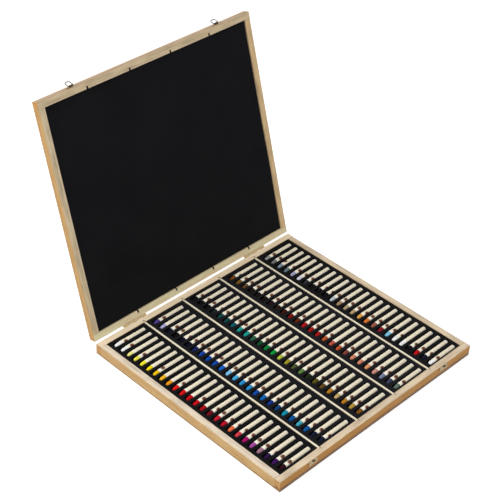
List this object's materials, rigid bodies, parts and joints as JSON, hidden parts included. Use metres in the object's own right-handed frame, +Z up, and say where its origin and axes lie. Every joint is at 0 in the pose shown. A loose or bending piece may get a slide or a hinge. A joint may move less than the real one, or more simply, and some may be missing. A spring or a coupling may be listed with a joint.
{
  "type": "hinged wooden pastel case",
  "caption": "Flat wooden case with a hinged padded lid, wire latches and rows of paper-wrapped oil pastels lying in slotted black foam trays between dividers.",
  "frame": {"origin": "centre of the base's underside, on the surface that the case stands on", "axes": "+X along the hinge line, +Y from the latches to the hinges, +Z up; at rest the lid stands open by 107.25 degrees"},
  "size_m": [0.465, 0.5761, 0.4324],
  "materials": {
    "base_wood": "pale softwood, thin satin varnish",
    "base_plywood": "thin plywood with a darker edge",
    "divider_wood": "pale thin strip wood",
    "lid_wood": "pale softwood, thin satin varnish",
    "lid_plywood": "thin plywood, satin varnish",
    "black_foam": "matte black closed-cell foam",
    "pigment_1": "waxy oil pastel, whites, yellows, reds and violets",
    "pigment_2": "waxy oil pastel, lilacs and blues",
    "pigment_3": "waxy oil pastel, greens and ochres",
    "pigment_4": "waxy oil pastel, browns, brick reds and greys",
    "pigment_5": "waxy oil pastel, greys and metallic shades",
    "wrapper_paper": "cream paper sleeve",
    "brass": "thin stamped brass, lightly polished"
  },
  "bodies": {
    "base": {"base_front_rail": "base_wood", "base_back_rail": "base_wood", "base_left_rail": "base_wood", "base_right_rail": "base_wood", "base_panel": "base_plywood", "divider_1": "divider_wood", "divider_2": "divider_wood", "divider_3": "divider_wood", "divider_4": "divider_wood", "tray_sheet_1": "black_foam", "tray_sheet_2": "black_foam", "tray_sheet_3": "black_foam", "tray_sheet_4": "black_foam", "tray_sheet_5": "black_foam", "tray_strips_1": "black_foam", "tray_strips_2": "black_foam", "tray_strips_3": "black_foam", "tray_strips_4": "black_foam", "tray_strips_5": "black_foam", "hinge_base_leaf_left": "brass", "hinge_base_leaf_right": "brass", "hinge_pin_left": "brass", "hinge_pin_right": "brass", "base_hinge_screws": "brass", "keeper_left": "brass", "keeper_right": "brass", "keeper_screws": "brass"},
    "lid": {"lid_front_rail": "lid_wood", "lid_back_rail": "lid_wood", "lid_left_rail": "lid_wood", "lid_right_rail": "lid_wood", "lid_panel": "lid_plywood", "lid_pad": "black_foam", "hinge_lid_leaf_left": "brass", "hinge_lid_leaf_right": "brass", "lid_hinge_screws": "brass", "latch_plate_left": "brass", "latch_plate_right": "brass", "latch_screws": "brass"},
    "latch_left": {"latch_loop_left": "brass"},
    "latch_right": {"latch_loop_right": "brass"},
    "row_1": {"pastels_1": "pigment_1", "wrappers_1": "wrapper_paper"},
    "row_2": {"pastels_2": "pigment_2", "wrappers_2": "wrapper_paper"},
    "row_3": {"pastels_3": "pigment_3", "wrappers_3": "wrapper_paper"},
    "row_4": {"pastels_4": "pigment_4", "wrappers_4": "wrapper_paper"},
    "row_5": {"pastels_5": "pigment_5", "wrappers_5": "wrapper_paper"}
  },
  "joints": [
    {"name": "lid_hinge", "type": "hinge", "parent": "base", "child": "lid", "pos_m": [0, 0.2151, 0.02095], "axis": [-1, 0, 0], "range_deg": [-107.25, 0]},
    {"name": "latch_left_pivot", "type": "hinge", "parent": "lid", "child": "latch_left", "pos_m": [-0.16, 0.34866, 0.42968], "axis": [-1, 0, 0], "range_deg": [-152, 24]},
    {"name": "latch_right_pivot", "type": "hinge", "parent": "lid", "child": "latch_right", "pos_m": [0.16, 0.34866, 0.42968], "axis": [-1, 0, 0], "range_deg": [-152, 24]},
    {"name": "row_1_lift", "type": "slide", "parent": "base", "child": "row_1", "axis": [0, 0, 1], "range_m": [0, 0.06]},
    {"name": "row_2_lift", "type": "slide", "parent": "base", "child": "row_2", "axis": [0, 0, 1], "range_m": [0, 0.06]},
    {"name": "row_3_lift", "type": "slide", "parent": "base", "child": "row_3", "axis": [0, 0, 1], "range_m": [0, 0.06]},
    {"name": "row_4_lift", "type": "slide", "parent": "base", "child": "row_4", "axis": [0, 0, 1], "range_m": [0, 0.06]},
    {"name": "row_5_lift", "type": "slide", "parent": "base", "child": "row_5", "axis": [0, 0, 1], "range_m": [0, 0.06]}
  ]
}
